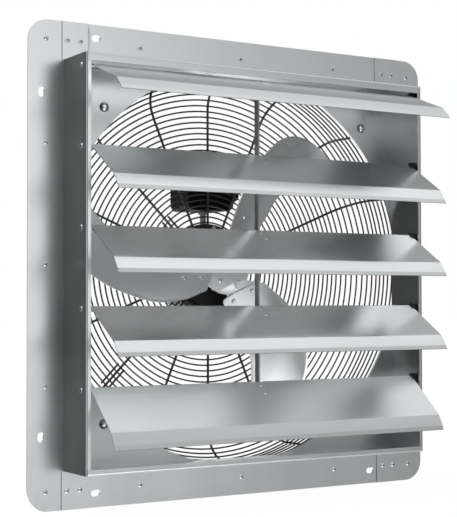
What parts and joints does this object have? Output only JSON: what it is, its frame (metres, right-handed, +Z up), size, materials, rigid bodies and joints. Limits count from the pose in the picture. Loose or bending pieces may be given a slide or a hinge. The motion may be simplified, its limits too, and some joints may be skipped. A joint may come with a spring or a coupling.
{
  "type": "shutter exhaust fan",
  "caption": "Square wall-mounted exhaust fan: a sheet housing with linked gravity louvers in front, a pressed-blade wheel in a round opening, and a domed wire guard that carries the motor.",
  "frame": {"origin": "centre of the square flange, on its face that bears on the wall", "axes": "+X right and +Z up as seen from outdoors, +Y from the outdoor side into the room"},
  "size_m": [0.5, 0.2695, 0.5],
  "materials": {
    "housing_sheet": "satin zinc-coated sheet",
    "louver_sheet": "satin rolled sheet",
    "blade_aluminium": "satin pressed sheet",
    "plated_steel": "zinc plated",
    "dark_steel": "dark plated",
    "black_painted_wire": "gloss black",
    "black_painted_casting": "satin black",
    "black_plastic": "matte black",
    "black_nylon": "matte black",
    "copper_wire": "varnished copper",
    "capacitor_can": "bare can",
    "cream_plastic": "matte cream"
  },
  "bodies": {
    "housing_and_guard": {"left_side_panel": "housing_sheet", "right_side_panel": "housing_sheet", "top_panel": "housing_sheet", "bottom_panel": "housing_sheet", "venturi_panel": "housing_sheet", "frame_rivets": "plated_steel", "hinge_pins": "plated_steel", "hinge_bushes": "black_nylon", "guard_face_rings": "black_painted_wire", "guard_rim_rings": "black_painted_wire", "guard_spokes": "black_painted_wire", "guard_rim_spokes": "black_painted_wire", "guard_feet": "black_painted_wire", "guard_bolts": "plated_steel", "guard_nuts": "plated_steel", "motor_mount_plate": "black_painted_wire", "mount_plate_screws": "dark_steel", "motor_front_cover": "black_painted_casting", "motor_rear_cover": "black_painted_casting", "motor_stator": "plated_steel", "motor_windings": "copper_wire", "motor_through_bolts": "dark_steel", "front_bearing": "plated_steel", "rear_bearing": "plated_steel", "wiring_box": "black_plastic", "box_lid": "black_plastic", "lid_screws": "dark_steel", "box_nipple": "dark_steel", "nipple_nuts": "dark_steel", "cable_gland": "black_plastic", "run_capacitor": "capacitor_can", "terminal_block": "cream_plastic"},
    "louver_1_body": {"louver_1": "louver_sheet", "crank_1": "plated_steel", "crank_rivets_1": "plated_steel"},
    "louver_2_body": {"louver_2": "louver_sheet", "crank_2": "plated_steel", "crank_rivets_2": "plated_steel"},
    "louver_3_body": {"louver_3": "louver_sheet", "crank_3": "plated_steel", "crank_rivets_3": "plated_steel"},
    "louver_4_body": {"louver_4": "louver_sheet", "crank_4": "plated_steel", "crank_rivets_4": "plated_steel"},
    "louver_5_body": {"louver_5": "louver_sheet", "crank_5": "plated_steel", "crank_rivets_5": "plated_steel"},
    "linkage": {"tie_bar": "dark_steel"},
    "fan_wheel": {"motor_rotor": "plated_steel", "motor_shaft": "plated_steel", "fan_hub": "plated_steel", "fan_spider": "plated_steel", "hub_rivets": "plated_steel", "hub_set_screw": "dark_steel", "fan_blade_1": "blade_aluminium", "fan_blade_2": "blade_aluminium", "fan_blade_3": "blade_aluminium", "blade_rivets": "plated_steel"}
  },
  "joints": [
    {"name": "louver_1_hinge", "type": "hinge", "parent": "housing_and_guard", "child": "louver_1_body", "pos_m": [0, -0.044, 0.198], "axis": [-1, 0, 0], "range_deg": [-63.02, 12.21]},
    {"name": "louver_2_hinge", "type": "hinge", "parent": "housing_and_guard", "child": "louver_2_body", "pos_m": [0, -0.044, 0.1168], "axis": [-1, 0, 0], "range_deg": [-51.72, 10.02]},
    {"name": "louver_3_hinge", "type": "hinge", "parent": "housing_and_guard", "child": "louver_3_body", "pos_m": [0, -0.044, 0.0356], "axis": [-1, 0, 0], "range_deg": [-51.7, 10]},
    {"name": "louver_4_hinge", "type": "hinge", "parent": "housing_and_guard", "child": "louver_4_body", "pos_m": [0, -0.044, -0.0456], "axis": [-1, 0, 0], "range_deg": [-51.72, 10.02]},
    {"name": "louver_5_hinge", "type": "hinge", "parent": "housing_and_guard", "child": "louver_5_body", "pos_m": [0, -0.044, -0.1268], "axis": [-1, 0, 0], "range_deg": [-37.92, 7.35]},
    {"name": "tie_bar_pivot", "type": "hinge", "parent": "louver_3_body", "child": "linkage", "pos_m": [0, -0.03532, 0.02731], "axis": [-1, 0, 0], "range_deg": [-10.02, 51.75]},
    {"name": "fan_wheel_spin", "type": "hinge", "parent": "housing_and_guard", "child": "fan_wheel", "pos_m": [0, 0.03, 0], "axis": [0, 1, 0], "continuous": true}
  ],
  "couplings": [
    {"joint": "louver_1_hinge", "follows": "louver_3_hinge", "ratio": 1.2186},
    {"joint": "louver_2_hinge", "follows": "louver_3_hinge", "ratio": 1},
    {"joint": "louver_4_hinge", "follows": "louver_3_hinge", "ratio": 1},
    {"joint": "louver_5_hinge", "follows": "louver_3_hinge", "ratio": 0.73308},
    {"joint": "tie_bar_pivot", "follows": "louver_3_hinge", "ratio": -1}
  ]
}
